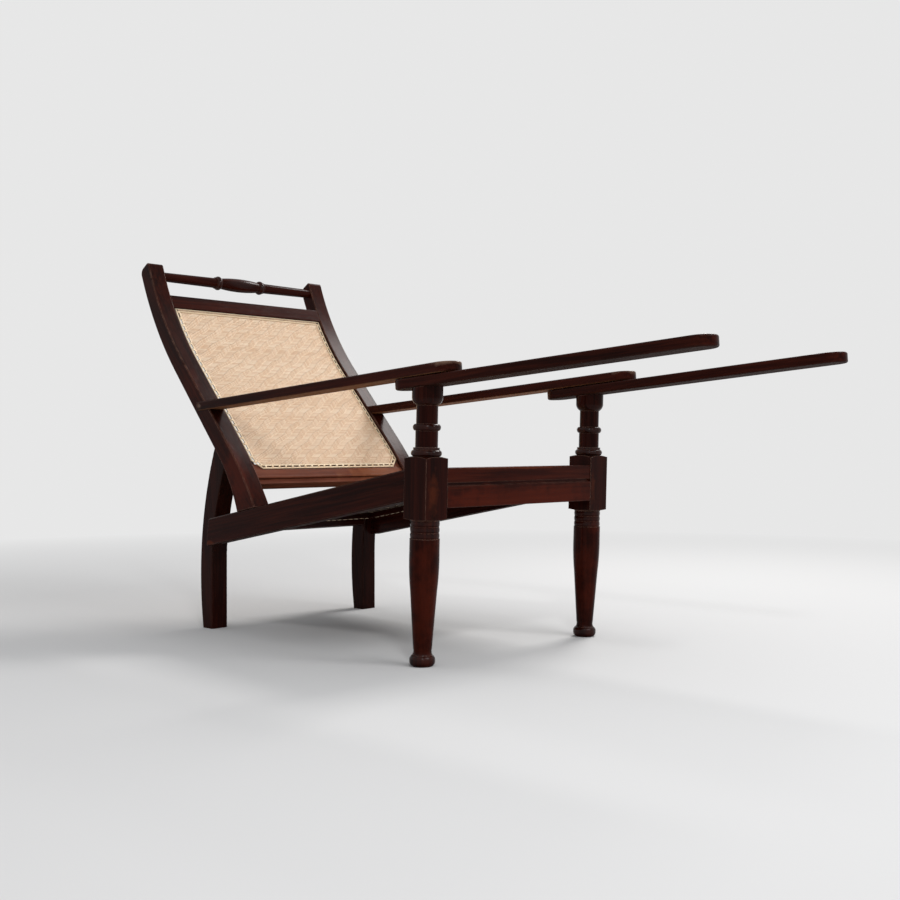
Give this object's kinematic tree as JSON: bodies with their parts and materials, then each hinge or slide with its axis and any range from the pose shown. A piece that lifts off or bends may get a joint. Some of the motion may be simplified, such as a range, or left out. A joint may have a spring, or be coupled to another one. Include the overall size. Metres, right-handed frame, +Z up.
{
  "type": "planters chair",
  "caption": "Low reclining chair with turned front posts, a caned seat and raked back, and flat arms with leg rests that swing out on pivots.",
  "frame": {"origin": "centre of the overall box at floor level", "axes": "+Z up, -Y the way the sitter faces, +X to the sitter's left"},
  "size_m": [0.6127, 1.6972, 0.9284],
  "materials": {
    "dark_wood": "polished dark red-brown hardwood, worn paler along the arrises",
    "cane": "close-woven straw-coloured cane, satin",
    "binder_cane": "flat glossy-skinned cane strip",
    "brass": "dull aged brass",
    "dowel_wood": "plain unpolished hardwood"
  },
  "bodies": {
    "chair_frame": {"back_cane_binder": "binder_cane", "back_cane_panel": "cane", "crest_rail": "dark_wood", "front_seat_rail": "dark_wood", "left_arm": "dark_wood", "left_arm_screw": "brass", "left_back_stile": "dark_wood", "left_front_post": "dark_wood", "left_leg_dowel": "dowel_wood", "left_pivot_pin": "brass", "left_rear_leg": "dark_wood", "left_side_rail": "dark_wood", "lower_back_rail": "dark_wood", "rear_seat_rail": "dark_wood", "right_arm": "dark_wood", "right_arm_screw": "brass", "right_back_stile": "dark_wood", "right_front_post": "dark_wood", "right_leg_dowel": "dowel_wood", "right_pivot_pin": "brass", "right_rear_leg": "dark_wood", "right_side_rail": "dark_wood", "seat_cane_binder": "binder_cane", "seat_cane_panel": "cane", "upper_back_rail": "dark_wood"},
    "right_leg_rest": {"right_leg_rest": "dark_wood"},
    "left_leg_rest": {"left_leg_rest": "dark_wood"}
  },
  "joints": [
    {"name": "right_leg_rest_swing", "type": "hinge", "parent": "chair_frame", "child": "right_leg_rest", "pos_m": [-0.273, -0.18696, 0.57135], "axis": [0, -0.0713, -0.9975], "range_deg": [0, 180]},
    {"name": "left_leg_rest_swing", "type": "hinge", "parent": "chair_frame", "child": "left_leg_rest", "pos_m": [0.273, -0.18696, 0.57135], "axis": [0, 0.0713, 0.9975], "range_deg": [0, 180]}
  ]
}
